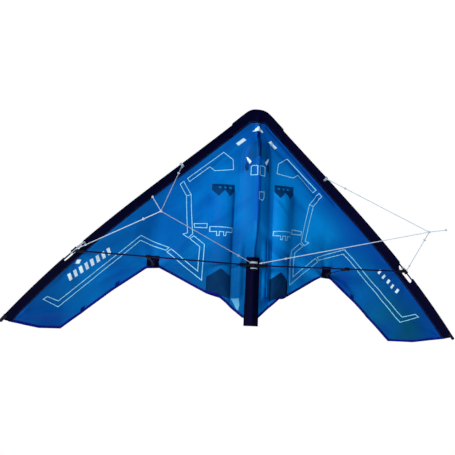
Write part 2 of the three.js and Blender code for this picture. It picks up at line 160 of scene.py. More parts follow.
def le_slope(x):
    return LE_CUBIC[1] + x * (2 * LE_CUBIC[2] + 3 * LE_CUBIC[3] * x)


def le_y(x):
    return LE_SWEEP_BACK * (np.abs(x) / HALF_SPAN) ** SWEEP_POWER


def te_z(x):
    return np.interp(x, *TE_LINE.T)


def inset_z(x, inset):
    """Height of the line that lies a distance inside the leading edge."""
    return le_z(x) - inset * np.hypot(1, le_slope(x))


def sail_y(x, z):
    """Depth of the billowed sail: full towards the spine, flat towards the tip."""
    top = le_z(x)
    t = np.clip((top - z) / np.maximum(top - te_z(x), 1), 0, 1)
    fullness = np.clip((FULL_WITHIN - x) / FULL_FADE, 0, 1)
    s = t + (np.sin(np.pi / 2 * t) - t) * fullness
    return le_y(x) + (np.interp(x, *TE_DEPTH.T) - le_y(x)) * s


def le_point(x, inset):
    """A point a distance inside the leading edge, on the sail."""
    slope = le_slope(x)
    length = math.hypot(1, slope)
    px = x + slope / length * inset
    pz = le_z(x) - inset / length
    return np.array([px, float(sail_y(max(px, 0), pz)), pz])


def fuselage_half(z):
    """Half width of the fuselage tube: a rounded nose, then a slight flare to the foot."""
    nose = np.clip((z - FUSELAGE_NOSE_Z) / (FUSELAGE_TOP_Z + 1 - FUSELAGE_NOSE_Z), 0, 1)
    return FUSELAGE_HALF * np.sqrt(1 - nose ** 3) + np.maximum(FUSELAGE_NOSE_Z - z, 0) * FUSELAGE_FLARE


def across_nacelle(x):
    """-1 at an engine tube's inner edge, 1 at its outer edge."""
    return (x - NACELLE_MID) / NACELLE_HALF


def tube_relief(x, z):
    """How far the air tubes and the rod's pocket push the sail forwards."""
    u = np.clip(across_nacelle(x), -1, 1)
    near_edge = 0.4 + 0.6 * smooth((z - te_z(x)) / 40)
    nacelle = NACELLE_PUFF * (1 - u * u) ** TUBE_ROUNDNESS * smooth((NACELLE_TOP_Z + 2 - z) / 34) * near_edge
    v = np.clip(x / np.maximum(fuselage_half(z), 1), -1, 1)
    above_cross = smooth((z - FLAP_TOP_Z - 1) / 90)
    beside_spine = above_cross + (1 - above_cross) * smooth((x - 27) / 22)
    ends = smooth((FUSELAGE_TOP_Z - z) / 50) * smooth((z - FUSELAGE_END_Z + 12) / 14)
    fuselage = FUSELAGE_PUFF * (1 - v * v) ** TUBE_ROUNDNESS * ends * beside_spine
    hump = np.clip(1 - (x / POCKET_HALF) ** 2, 0, 1)
    return nacelle + np.maximum(fuselage + POCKET_RIDGE * hump * above_cross, ROD_COVER * hump)


def fan(x, z, centre, folds, reach, height, phase):
    """Tension folds that fan out from a point."""
    dx, dz = x - centre[0], z - centre[1]
    r = np.hypot(dx, dz)
    return height * np.exp(-r / reach) * np.sin(folds * np.arctan2(dz, dx) + phase) * smooth(r / 25)


def crease(x, z, path, width, height):
    """One fold along a run of (x, z) points; positive goes back, negative comes forward."""
    path = floats(path)
    gap = np.full(np.broadcast(x, z).shape, 1e9)
    for a, b in zip(path[:-1], path[1:]):
        way = b - a
        t = np.clip(((x - a[0]) * way[0] + (z - a[1]) * way[1]) / (way @ way), 0, 1)
        gap = np.minimum(gap, np.hypot(x - a[0] - way[0] * t, z - a[1] - way[1] * t))
    return height * np.exp(-(gap / width) ** 2)


# Fans of folds: centre, number of folds in a turn, reach, height, phase on each wing.
FANS = (((CONNECTOR_X, 14), 9, 150, 3.2, {"left": 0.4, "right": 1.7}),
        ((304, -18), 8, 120, 3.2, {"left": 2.1, "right": 0.2}),
        ((735, -200), 7, 150, 3.8, {"left": 1.1, "right": 2.6}))
RIPPLE = 1.4
RIPPLE_PHASE = {"left": 0, "right": 1.3}
# Single folds: (x, z) path, width, depth.
CREASES = {
    "left": [([(705, -186), (631, -175), (524, -167)], 9, -6.0),
             ([(690, -150), (610, -62), (560, -12)], 20, 5.0),
             ([(322, -8), (400, -28), (470, -66)], 9, -4.0),
             ([(548, 6), (440, 74), (330, 120)], 18, -3.4),
             ([(286, -14), (250, 20), (214, 70)], 12, -2.2)],
    "right": [([(492, -134), (554, -172), (618, -207)], 12, 8.0),
              ([(322, 0), (379, -24), (432, -68)], 9, 6.0),
              ([(338, 4), (389, 13), (472, 23)], 7, -3.0),
              ([(35, 456), (85, 410), (135, 367), (192, 316), (233, 284), (300, 226)], 5, 8.0),
              ([(60, 400), (77, 382), (125, 349), (177, 302), (240, 240)], 9, 7.0),
              ([(286, -12), (244, 30), (226, 96)], 12, -2.4),
              ([(664, -196), (600, -120), (575, -60)], 20, -2.8)],
}
# The trailing edge's outer corner turns back below this line, by this depth.
TURNED_BACK = {"left": (np.array([524, -167]), np.array([705, -186]), 7.0),
               "right": (np.array([492, -134]), np.array([618, -207]), 9.0)}


def wrinkle(x, z, side):
    """Light folds of a taut sail, a little different on each wing; none under the sleeve."""
    inside = (le_z(x) - z) / np.hypot(1, le_slope(x))
    folds = sum(fan(x, z, centre, count, reach, height, phase[side])
                for centre, count, reach, height, phase in FANS)
    ripple = RIPPLE * np.sin(x / 31 + z / 83 + RIPPLE_PHASE[side]) * np.sin(z / 57 - x / 140)
    taut = (folds + ripple) * smooth((x - 150) / 60)
    taut = taut + sum(crease(x, z, path, width, height) for path, width, height in CREASES[side])
    a, b, depth = TURNED_BACK[side]
    way = unit(b - a)
    below = (x - a[0]) * way[1] - (z - a[1]) * way[0]
    return taut * smooth((inside - SLEEVE_WIDTH + 3) / 10) + depth * smooth(below / 30)


def front_y(x, z, side):
    return sail_y(x, z) - tube_relief(x, z) + wrinkle(x, z, side)


# ---- camera, light and stage
CAMERA_AT = (-1.1200, -3.0089, -0.2468)
CAMERA_AZIMUTH = -18.84
CAMERA_ELEVATION = -6.52
CAMERA_ROLL = 2.06
CAMERA_LENS = 79.1
FLOOR_Z = -0.9
FLOOR_RADIUS = 2.2
FLOOR_SIDES = 96
ROOM_LIGHT = 0.2
ROOM_TINT = (0.4, 0.66, 1.0, 1.0)
LIT_POINT = (0, 0, 0.1)
# Name, place, width, watts, colour.
LIGHTS = (("key", (-3.3, -2.6, 1.1), 1.2, 184, (1.0, 0.98, 0.96)),
          ("fill", (1.2, -4.2, 0.9), 2.5, 14, (0.96, 0.98, 1.0)),
          ("back", (1.8, 3.8, 1.6), 2.5, 68, (1.0, 1.0, 1.0)))


def new_object(name, data):
    thing = bpy.data.objects.new(name, data)
    bpy.context.scene.collection.objects.link(thing)
    return thing


def aim(thing, at, back, roll=0.0):
    """Puts a camera or a lamp at a place, looking away from the direction back."""
    turn = Vector(back).to_track_quat("Z", "Y").to_matrix() @ Matrix.Rotation(math.radians(roll), 3, "Z")
    thing.matrix_world = Matrix.Translation(at) @ turn.to_4x4()


def add_camera():
    azimuth, elevation = math.radians(CAMERA_AZIMUTH), math.radians(CAMERA_ELEVATION)
    level_out = math.cos(elevation)
    back = (math.sin(azimuth) * level_out, -math.cos(azimuth) * level_out, math.sin(elevation))
    data = bpy.data.cameras.new("camera")
    data.sensor_width, data.lens, data.clip_end = 36, CAMERA_LENS, 200
    camera = new_object("camera", data)
    aim(camera, CAMERA_AT, back, CAMERA_ROLL)
    bpy.context.scene.camera = camera


def add_light(name, at, size, watts, colour):
    data = bpy.data.lights.new(name, "AREA")
    data.size, data.energy, data.color = size, watts, colour
    aim(new_object(name, data), at, Vector(at) - Vector(LIT_POINT))


# ---- node materials
def srgb(red, green, blue):
    """Linear colour from 0-255 display values."""
    values = [v / 255 for v in (red, green, blue)]
    return tuple(v / 12.92 if v <= 0.04045 else ((v + 0.055) / 1.055) ** 2.4 for v in values) + (1.0,)


class Graph:
    """The node tree of a new material or world, with short ways to add maths and textures."""

    def __init__(self, name, kind=None):
        self.owner = (bpy.data.materials if kind is None else kind).new(name)
        self.owner.use_nodes = True
        self.tree = self.owner.node_tree
        self.tree.nodes.clear()
        self.place = self.add("ShaderNodeTexCoord").outputs["Object"]
        axes = self.add("ShaderNodeSeparateXYZ", {0: self.place}).outputs
        self.x, self.z = axes["X"], axes["Z"]

    def add(self, kind, inputs=(), **settings):
        """A node with its settings made, and its inputs joined to sockets or set to values."""
        node = self.tree.nodes.new(kind)
        for key, value in settings.items():
            setattr(node, key, value)
        for key, value in dict(inputs).items():
            if isinstance(value, (int, float, tuple)):
                node.inputs[key].default_value = value
            else:
                self.tree.links.new(value, node.inputs[key])
        return node

    def math(self, operation, *values, clamp=False):
        node = self.add("ShaderNodeMath", dict(enumerate(values)), operation=operation, use_clamp=clamp)
        return node.outputs[0]

    def times(self, a, b):
        return self.math("MULTIPLY", a, b)

    def plus(self, a, b):
        return self.math("ADD", a, b)

    def minus(self, a, b):
        return self.math("SUBTRACT", a, b)

    def mix(self, factor, a, b):
        """A blend of two colours, each a socket or 0-255 display values."""
        a, b = (srgb(*colour) if isinstance(colour, tuple) else colour for colour in (a, b))
        node = self.add("ShaderNodeMix", {"Factor": factor, "A": a, "B": b}, data_type="RGBA")
        return node.outputs["Result"]

    def ramp(self, value, low, high):
        """0 to 1 as the value goes from low to high."""
        return self.add("ShaderNodeMapRange", {"Value": value, "From Min": low, "From Max": high},
                        clamp=True).outputs["Result"]

    def noise(self, scale, detail, stretch=(1, 1, 1), place=None, distortion=0.0):
        """Noise in object space, or over another place."""
        place = place or self.add("ShaderNodeMapping", {"Vector": self.place, "Scale": stretch}).outputs[0]
        return self.add("ShaderNodeTexNoise", {"Vector": place, "Scale": scale, "Detail": detail,
                                               "Distortion": distortion}).outputs["Fac"]

    def streaks(self, away):
        """Noise drawn out along the leading edges, the same way round on both wings."""
        across = self.plus(self.times(away, 0.69), self.times(self.z, 0.72))
        along = self.minus(self.times(away, 0.72), self.times(self.z, 0.69))
        place = self.add("ShaderNodeCombineXYZ", {0: self.times(across, 17.0), 1: self.times(along, 3.2),
                                                  2: self.math("SIGN", self.x)})
        return self.noise(1.0, 4.0, place=place.outputs[0], distortion=0.6)

    def threads(self, axis, pitch, width):
        """1 on thin lines a pitch apart across one axis, 0 between them; sizes in metres."""
        return self.ramp(self.math("PINGPONG", axis, pitch / 2), width, width * 0.4)

    def waves(self, pitch, a, b):
        """Two crossing waves multiplied, 0 to 1."""
        turns = 2 * math.pi / pitch
        return self.ramp(self.times(*(self.math("SINE", self.times(way, turns)) for way in (a, b))), -1, 1)

    def weave(self, pitch):
        """A plain weave's over-and-under height, 0 to 1."""
        return self.waves(pitch, self.x, self.z)

    def shade(self, colour, roughness, height, strength, distance, through=0.0, **constants):
        """Principled surface with a bump, and a share of light that passes through the cloth."""
        bump = self.add("ShaderNodeBump", {"Strength": strength, "Distance": distance, "Height": height})
        inputs = {key.replace("_", " "): value for key, value in constants.items()}
        shader = self.add("ShaderNodeBsdfPrincipled", {"Base Color": colour, "Roughness": roughness,
                                                       "Normal": bump.outputs[0], **inputs}).outputs[0]
        if through:
            glow = self.add("ShaderNodeBsdfTranslucent", {"Color": colour}).outputs[0]
            shader = self.add("ShaderNodeMixShader", {0: through, 1: shader, 2: glow}).outputs[0]
        self.add("ShaderNodeOutputMaterial", {"Surface": shader})
        return self.owner


CLOTH_WEAVE = 0.0008
WEBBING_WEAVE = 0.0014
RIPSTOP_GRID = (0.0055, 0.0007)
BRAID_PITCH = 0.0032


def ripstop(name, light, dark, tip, through=0.1, foot=0.0, deep=(0, 74, 150), tip_at=0.72, edge=0.0,
            shade_and_light_spots=()):
    """Thin ripstop nylon: a fine weave, thicker threads in a square grid, soft tonal drift.

    The tone goes over to tip towards x = tip_at metres. As painted shade it goes over to tip beside the
    engine tubes' feet by the share foot, and to deep beside the leading edge by the share edge. The spots
    are (|x|, z, radius, share) in metres: painted shade in the billow, painted light if the share is below
    nothing.
    """
    g = Graph(name)
    grid = g.math("MAXIMUM", *(g.threads(axis, *RIPSTOP_GRID) for axis in (g.x, g.z)))
    drift = g.noise(5.5, 4, (1, 1, 0.55))
    away = g.math("ABSOLUTE", g.x)
    streak = g.streaks(away)
    outwards = g.plus(g.ramp(away, 0.2, tip_at), g.times(g.minus(drift, 0.5), 0.7))
    # Painted shade: darker towards the trailing edge beside the engine tubes' feet.
    shade_by_tube_feet = g.times(g.ramp(away, 0.36, 0.2), g.ramp(g.z, 0.17, -0.05))
    base = g.mix(g.ramp(drift, 0.34, 0.66), dark, light)
    base = g.mix(g.times(g.ramp(streak, 0.45, 0.33), 0.45), base, light)
    base = g.mix(g.times(g.ramp(streak, 0.49, 0.63), 0.45), base, deep)
    base = g.mix(g.times(shade_by_tube_feet, foot), base, tip)
    base = g.mix(g.math("MULTIPLY", outwards, 0.9, clamp=True), base, tip)
    # Painted shade, or painted light where the share is below nothing, in round spots on the sail.
    for x, z, radius, share in shade_and_light_spots:
        squares = [g.math("POWER", g.minus(at, centre), 2.0) for at, centre in ((away, x), (g.z, z))]
        near = g.ramp(g.math("SQRT", g.plus(*squares)), radius, radius * 0.2)
        base = g.mix(g.times(near, abs(share)), base, deep if share > 0 else light)
    # Painted shade: the sail darkens towards deep in a band beside the leading-edge sleeve.
    inside = g.times(g.minus(g.math("MULTIPLY_ADD", away, -0.86, 0.527), g.z), 0.75)
    base = g.mix(g.times(g.ramp(inside, 0.11, 0.035), edge), base, deep)
    colour = g.mix(g.times(grid, 0.16), base, dark)
    roughness = g.plus(g.times(g.noise(900, 2), 0.12), 0.46)
    height = g.plus(g.times(g.weave(CLOTH_WEAVE), 0.4), grid)
    return g.shade(colour, roughness, height, 0.25, 0.0002, through, Specular_IOR_Level=0.03)


def webbing(name, light, dark, through=0.0):
    """Dense woven polyester with a slightly worn, lighter grain."""
    g = Graph(name)
    rib = g.weave(WEBBING_WEAVE)
    wear = g.ramp(g.noise(60, 5), 0.45, 0.75)
    colour = g.mix(g.times(rib, 0.35), g.mix(g.times(wear, 0.5), dark, light), light)
    roughness = g.plus(g.times(wear, 0.15), 0.62)
    return g.shade(colour, roughness, rib, 0.5, 0.0004, through, Specular_IOR_Level=0.04)


def ink(name, colour, thin):
    """Screen print: slightly uneven cover over the weave."""
    g = Graph(name)
    cover = g.ramp(g.noise(420, 3), 0.35, 0.6)
    tone = g.mix(g.times(g.minus(1.0, cover), 0.35), colour, thin)
    roughness = g.plus(g.times(cover, -0.1), 0.6)
    return g.shade(tone, roughness, g.weave(CLOTH_WEAVE), 0.2, 0.0002, 0.15, Specular_IOR_Level=0.3)


def fibre_rod(name):
    """Wrapped fibre rod under lacquer: fine slanted bands."""
    g = Graph(name)
    band = g.ramp(g.math("SINE", g.times(g.plus(g.x, g.z), 2200.0)), -1, 1)
    colour = g.mix(band, (0, 1, 46), (6, 6, 66))
    roughness = g.plus(g.times(g.noise(300, 2), 0.2), 0.22)
    return g.shade(colour, roughness, band, 0.15, 0.0001, Specular_IOR_Level=0.12)


def rubber(name):
    """Moulded rubber with a fine matt grain and paler scuffs."""
    g = Graph(name)
    grain = g.noise(1400, 4)
    colour = g.mix(g.ramp(g.noise(90, 4), 0.58, 0.8), (1, 1, 20), (12, 12, 40))
    return g.shade(colour, g.plus(g.times(grain, 0.25), 0.42), grain, 0.3, 0.0003, Specular_IOR_Level=0.14)


def braid(name, light, dark):
    """Braided line: crossing strands with a soft fuzz."""
    g = Graph(name)
    strand = g.waves(BRAID_PITCH, g.plus(g.x, g.z), g.minus(g.x, g.z))
    roughness = g.plus(g.times(g.noise(700, 2), 0.2), 0.6)
    return g.shade(g.mix(strand, dark, light), roughness, strand, 0.5, 0.0004, Sheen_Weight=0.2)


# Painted shade in the sail's billow, and painted light where the share is below nothing: (|x|, z, radius,
# share).
SHADE_OVER_FUSELAGE = ((0.015, 0.33, 0.10, 0.55), (0.015, 0.20, 0.09, 0.4), (0.015, 0.42, 0.06, 0.5))
LEFT_SHADE_AND_LIGHT = SHADE_OVER_FUSELAGE + (
    (0.33, 0.07, 0.14, 0.45), (0.62, -0.21, 0.10, 0.85), (0.72, -0.19, 0.09, 0.6), (0.43, -0.03, 0.09, 0.45),
    (0.51, -0.02, 0.07, -0.5), (0.25, 0.13, 0.10, 0.4), (0.40, -0.05, 0.045, 0.35))
RIGHT_SHADE_AND_LIGHT = SHADE_OVER_FUSELAGE + (
    (0.38, 0.10, 0.08, 0.5), (0.37, -0.03, 0.09, 0.95), (0.76, -0.20, 0.12, 0.85), (0.56, -0.19, 0.06, 0.5),
    (0.235, 0.14, 0.09, -0.9), (0.47, -0.08, 0.09, 0.4), (0.054, -0.108, 0.045, 0.8),
    (0.125, 0.14, 0.07, -0.7))
# The wings get copies of one ripstop whose tones differ as painted light and shade: the right one lighter
# overall, darker and sooner towards its tip, with a stronger shaded band by the leading edge; the left one
# shaded beside the tubes' feet.
SAIL = {"left": ripstop("left_sail_ripstop", (0, 134, 212), (0, 102, 186), (0, 77, 138),
                        foot=0.85, deep=(0, 64, 150), edge=0.4, shade_and_light_spots=LEFT_SHADE_AND_LIGHT),
        "right": ripstop("right_sail_ripstop", (0, 142, 222), (0, 112, 194), (0, 60, 84),
                         deep=(0, 64, 152), tip_at=0.62, edge=0.95, shade_and_light_spots=RIGHT_SHADE_AND_LIGHT)}
TUBE = ripstop("tube_ripstop", (0, 140, 216), (0, 108, 190), (0, 100, 180), 0.12)
POCKET = ripstop("pocket_ripstop", (0, 104, 196), (0, 78, 172), (0, 78, 172), 0.08)
CANOPY = ripstop("canopy_ripstop", (0, 92, 156), (0, 66, 126), (0, 66, 126), 0.08)
DEEP = ripstop("deep_ripstop", (0, 36, 110), (0, 22, 84), (0, 22, 84), 0.04)
# Pale ripstop, used only for the painted highlight at the left fuselage foot.
PAINTED_HIGHLIGHT = ripstop("painted_highlight_ripstop", (110, 186, 216), (40, 150, 206), (40, 150, 206), 0.12)
MESH = webbing("mesh_cloth", (4, 66, 118), (0, 48, 96), 0.06)
TEAL = webbing("teal_mesh_cloth", (2, 58, 100), (0, 38, 80), 0.06)
NAVY = webbing("navy_sleeve_cloth", (2, 2, 46), (0, 0, 26))
HEM = webbing("hem_tape", (6, 17, 142), (3, 9, 110), 0.06)
THREAD = braid("stitch_thread", (18, 22, 84), (8, 10, 56))
INK = ink("print_ink", (222, 244, 252), (160, 206, 236))
FINE_INK = ink("fine_print_ink", (150, 224, 248), (90, 180, 228))
ROD = fibre_rod("wrapped_fibre_rod")
RUBBER = rubber("moulded_rubber")
CORD = braid("white_braid", (200, 218, 228), (140, 156, 166))


# Which looks stand for each finish of the CAD; the first one is for the CAD's own pieces.
FINISHES = {"ripstop_blue": (TUBE, *SAIL.values(), POCKET, CANOPY, PAINTED_HIGHLIGHT),
            "navy_webbing": (NAVY, HEM, DEEP, THREAD), "teal_mesh": (TEAL, MESH),
            "bridle_cord": (CORD, INK, FINE_INK), "carbon_rod": (ROD,), "black_rubber": (RUBBER,)}


# ---- mesh building
SKEW = (0.31, 0.87, 0.38)  # a direction that no tube or turned piece runs along


def new_piece(name, points, faces, material, flat=False):
    """A mesh object from points in millimetres, smooth or flat shaded, its faces turned outwards."""
    mesh = bpy.data.meshes.new(name)
    mesh.from_pydata((floats(points) * MM).tolist(), [], faces)
    mesh.materials.append(material)
    mesh.polygons.foreach_set("use_smooth", [not flat] * len(mesh.polygons))
    bm = bmesh.new()
    bm.from_mesh(mesh)
    bmesh.ops.recalc_face_normals(bm, faces=bm.faces)
    bm.to_mesh(mesh)
    bm.free()
    return new_object(name, mesh)


def grid_faces(rows, cols, wrap=False):
    """Quads over a grid of points, closed across the columns if it wraps."""
    return [(r * cols + c, r * cols + (c + 1) % cols, (r + 1) * cols + (c + 1) % cols, (r + 1) * cols + c)
            for r in range(rows - 1) for c in range(cols if wrap else cols - 1)]


def sheet_piece(name, grid, material, thick=CLOTH):
    """Cloth of even thickness from a grid of points [row, column, xyz]."""
    rows, cols = grid.shape[:2]
    piece = new_piece(name, grid.reshape(-1, 3), grid_faces(rows, cols), material)
    thicken(piece, thick)
    return piece


def thicken(piece, thick):
    solid = piece.modifiers.new("thickness", "SOLIDIFY")
    solid.thickness = thick * MM
    solid.offset = 0
    solid.use_even_offset = True


def end_faces(count, total):
    """The first and the last ring of points, closed with a face each."""
    return [tuple(range(count)), tuple(range(total - count, total))]


def section(x, z, front, back, side):
    """A closed cross-section: down the front of a piece and up its back."""
    x, z = np.broadcast_arrays(floats(x), z)
    lines = [np.stack([x, y, z], 1) for y in (front, back)]
    return np.concatenate([lines[0], lines[1][::-1]]) * (SIDES[side], 1, 1)


def shell_piece(name, sections, material):
    """Closed skin through a list of closed cross-sections with flat ends."""
    count, points = len(sections[0]), np.concatenate(sections)
    faces = grid_faces(len(sections), count, wrap=True) + end_faces(count, len(points))
    return crisp(new_piece(name, points, faces, material), 50)


def crisp(piece, degrees):
    """Keeps edges over an angle crisp while the rest shades smooth."""
    piece.data.set_sharp_from_angle(angle=math.radians(degrees))
    return piece


def ring(centre, axis_a, axis_b, radius, sides):
    """A ring of points in the plane of two axes."""
    turns = np.arange(sides) * 2 * math.pi / sides
    return centre + radius * (np.cos(turns)[:, None] * axis_a + np.sin(turns)[:, None] * axis_b)


def join_meshes(name, parts, material, flat=False):
    """One piece from several (points, faces) pairs."""
    points, faces, first = [], [], 0
    for part_points, part_faces in parts:
        points.append(floats(part_points))
        faces += [tuple(i + first for i in face) for face in part_faces]
        first += len(part_points)
    return new_piece(name, np.concatenate(points), faces, material, flat)


def tube_part(path, radius, sides, closed=False):
    """A round tube along a path."""
    path = floats(path)
    before, after = np.roll(path, 1, 0), np.roll(path, -1, 0)
    if not closed:
        before[0], after[-1] = path[0], path[-1]
    tangents = after - before
    tangents /= np.linalg.norm(tangents, axis=1)[:, None]
    normal = np.cross(tangents[0], SKEW)
    rings = []
    for point, tangent in zip(path, tangents):
        normal = unit(normal - tangent * (normal @ tangent))
        rings.append(ring(point, normal, np.cross(tangent, normal), radius, sides))
    points, seam = np.concatenate(rings), (len(rings) - 1) * sides
    faces = grid_faces(len(rings), sides, wrap=True)
    if closed:
        faces += [(seam + c, seam + (c + 1) % sides, (c + 1) % sides, c) for c in range(sides)]
    else:
        faces += end_faces(sides, len(points))
    return points, faces


def turned_part(a, b, profile, sides=28):
    """A turned solid along the line from a to b; profile is (distance along, radius) pairs."""
    axis = unit(np.subtract(b, a))
    normal = unit(np.cross(axis, SKEW))
    other = np.cross(axis, normal)
    points = np.concatenate([ring(on_line(a, b, along), normal, other, r, sides) for along, r in profile])
    return points, grid_faces(len(profile), sides, wrap=True) + end_faces(sides, len(points))


def rod_profile(length, radius, chamfer=0.6):
    return [(0, radius - chamfer), (chamfer, radius), (length - chamfer, radius), (length, radius - chamfer)]


def mirror(point, side):
    return floats(point) * (SIDES[side], 1, 1)


def on_sail(x, z, side, off=0.0):
    """Points in front of the sail of one wing, from matching arrays of x >= 0 and z."""
    y = front_y(np.maximum(x, 0), z, side) - off
    return np.stack([SIDES[side] * x, y, z], -1)


# ---- flat shapes laid on the sail
LONGEST_EDGE = 5.0


def ribbon_part(path, low, high, side, off, closed=False):
    """A strip between two offsets from a path of (x, z) corners, mitred, laid on the sail."""
    path = floats(path)
    if closed:
        path = np.vstack([path, path[:1]])
    ways = np.diff(path, axis=0)
    ways /= np.linalg.norm(ways, axis=1)[:, None]
    normals = np.stack([-ways[:, 1], ways[:, 0]], 1)
    first, last = (normals[-1], normals[0]) if closed else (normals[0], normals[-1])
    after = np.vstack([normals, last])
    mitres = np.vstack([first, normals]) + after
    mitres /= np.maximum((mitres * after).sum(1), 0.35)[:, None]
    edges = np.stack([path + mitres * offset for offset in (low, high)], 1)
    rows = []
    for i, length in enumerate(np.linalg.norm(np.diff(path, axis=0), axis=1)):
        count = max(1, int(length / LONGEST_EDGE))
        rows += [edges[i] + (edges[i + 1] - edges[i]) * t for t in np.arange(count) / count]
    rows = np.array(rows + [edges[-1]])
    return on_sail(rows[..., 0], rows[..., 1], side, off).reshape(-1, 3), grid_faces(len(rows), 2)


def filled_part(corners, side, off):
    """A filled polygon of (x, z) corners, cut fine enough to follow the sail."""
    bm = bmesh.new()
    bm.faces.new([bm.verts.new((x, 0, z)) for x, z in corners])
    bmesh.ops.triangulate(bm, faces=bm.faces[:])
    while long_edges := [e for e in bm.edges if e.calc_length() > LONGEST_EDGE]:
        bmesh.ops.subdivide_edges(bm, edges=long_edges, cuts=1)
        bmesh.ops.triangulate(bm, faces=[f for f in bm.faces if len(f.verts) > 3])
    flat = np.array([v.co for v in bm.verts])
    bm.verts.index_update()
    faces = [tuple(v.index for v in face.verts) for face in bm.faces]
    bm.free()
    return on_sail(flat[:, 0], flat[:, 2], side, off), faces


def panel_grid(xs, top, bottom, rows, side, off=0.0):
    """Grid over the stations xs between two z lines, on the sail."""
    xs = floats(xs)
    t = np.linspace(0, 1, rows + 1)[:, None]
    z = top(xs) + (bottom(xs) - top(xs)) * t
    return on_sail(np.broadcast_to(xs, z.shape), z, side, off)


# ---- how pieces move
ROOT_BEND = (5, 45)


def fit(piece, side=None, node=None, bend=None):
    """Says what a piece moves with and which CAD piece it stands for, hiding that CAD piece.

    Without a side it stays on the spine. With a side it rides on that wing, or with a bend its place is
    only baked into its mesh.
    """
    if side is None:
        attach(piece, "spine")
    elif bend:
        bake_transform(piece)
    else:
        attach(piece, side + "_wing")
    if node:
        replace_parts(piece, f"{side}_{node}" if side else node)


# ---- bridle
def cord_piece(name, start, end):
    """A taut line as a curve of one open spline."""
    data = bpy.data.curves.new(name, "CURVE")
    data.dimensions = "3D"
    data.bevel_depth, data.bevel_resolution, data.use_fill_caps = CORD_R * MM, 3, True
    spline = data.splines.new("POLY")
    spline.points.add(CORD_STEPS)
    for i, point in enumerate(spline.points):
        point.co = (*(start + (end - start) * i / CORD_STEPS) * MM, 1)
    data.materials.append(CORD)
    return new_object(name, data)


def knot_part(at, size, turn):
    """A pulled-tight overhand knot, as a small trefoil of line."""
    t = np.linspace(0, 2 * math.pi, 48, endpoint=False)
    loop = np.stack([np.sin(t) + 2 * np.sin(2 * t), -np.sin(3 * t), np.cos(t) - 2 * np.cos(2 * t)], 1)
    spin = np.array(Matrix.Rotation(turn, 3, "Y"))
    return tube_part(floats(at) + loop @ spin.T * (size / 3), CORD_R, 8, True)


def ring_part(centre, axis, radius, cord_r=CORD_R, arc=2 * math.pi, start=0.0):
    """A loop or part of a loop of line round an axis."""
    axis = unit(axis)
    normal = unit(np.cross(axis, (1, 0, 0)) if abs(axis[0]) < 0.8 else np.cross(axis, (0, 0, 1)))
    other = np.cross(axis, normal)
    closed = arc > 6.28
    t = start + np.linspace(0, arc, 40, endpoint=not closed)
    path = floats(centre) + radius * (np.cos(t)[:, None] * normal + np.sin(t)[:, None] * other)
    return tube_part(path, cord_r, 8, closed)


def rod_point(x, side, off=0.0):
    """A point on the leading-edge rod's axis, or a distance in front of it."""
    return mirror(le_point(x, ROD_INSET) - (0, off, 0), side)


def rod_way(x, side):
    return rod_point(x + 4, side) - rod_point(x - 4, side)


UPPER_END = le_point(UPPER_TIE_X, 6) - (0, 8, 0)


def bridle_leg(name, start, side, knots, ties):
    """One leg from the kite to the tow point, with the knots along it: (distance, size, turn)."""
    end = mirror(on_line(TOW, start, KNOT_R + 0.5), side)
    knots = [knot_part(mirror(on_line(start, TOW, at), side), size, turn) for at, size, turn in knots]
    start = mirror(start, side)
    cord = cord_piece(f"{side}_bridle_{name}", start, end)
    fit(cord, side, f"bridle_{name}")
    tied = join_meshes(f"{side}_{name}_knots", knots + ties, CORD)
    fit(tied, side)


def add_bridle(side):
    upper_length, lower_length = (np.linalg.norm(np.subtract(end, TOW)) for end in (UPPER_END, LOWER_END))
    way = rod_way(UPPER_TIE_X, side)
    loops = [ring_part(rod_point(UPPER_TIE_X, side) + unit(way) * shift, way + (0, 0.2 * shift, 0), LOOP_R)
             for shift in (-2.2, 2.2)]
    loops += [knot_part(mirror(UPPER_END - (0, 1, 0), side), 3.0, 0.8)]
    bridle_leg("upper", UPPER_END, side, [(UPPER_KNOT_AT * upper_length, 3.2, 0.3)], loops)
    wraps = [ring_part(rod_point(CONNECTOR_X + shift, side), rod_way(CONNECTOR_X, side), WRAP_R)
             for shift in WRAPS[side]]
    crossing = [mirror(LOWER_END, side), rod_point(CONNECTOR_X + WRAPS[side][-1], side, 5)]
    wraps += [tube_part(crossing, CORD_R, 8)]
    if side == "left":
        wraps += [tube_part([rod_point(CONNECTOR_X + shift, side, off) for shift, off in LOOSE_END], 1.0, 8)]
    lower_knots = [(at * lower_length, size, turn) for at, size, turn in LOWER_KNOTS]
    bridle_leg("lower", LOWER_END, side, lower_knots, wraps)
    bridle_leg("inhaul", INHAUL_END, side, [(INHAUL_KNOT_AT, 2.8, 0.2)],
               [knot_part(mirror(on_line(INHAUL_END, TOW, 7), side), 2.4, 1.3)])
    tow_knots = [knot_part(mirror(TOW, side), KNOT_R * share, turn) for share, turn in ((1, 0.4), (0.8, 1.5))]
    tow = join_meshes(f"{side}_tow_knot_tied", tow_knots, CORD)
    fit(tow, side, "tow_knot")
    add_pigtail(side)


def add_pigtail(side):
    at, way = mirror(TOW, side), unit(PIGTAIL_WAYS[side])
    start, end = at + way * (KNOT_R + 0.5), at + way * PIGTAIL
    cord = cord_piece(f"{side}_pigtail_line", start, end)
    fit(cord, side, "pigtail")
    stop = join_meshes(f"{side}_pigtail_knot", [knot_part(end - way * 2, 2.6, 0.9)], CORD)
    fit(stop, side)


def add_hub_loops():
    """The inhaul's turns of line round the centre cross, above and below the arms."""
    parts = [ring_part((0, 0, z), (0, 0, 1), 11.6, 1.5, math.radians(150), math.radians(105))
             for z in (10.4, 7.6, -9.5)]
    fit(join_meshes("cross_cord_loops", parts, CORD))


# ---- sail, sleeves and their trim
SAIL_EDGE_X = 751


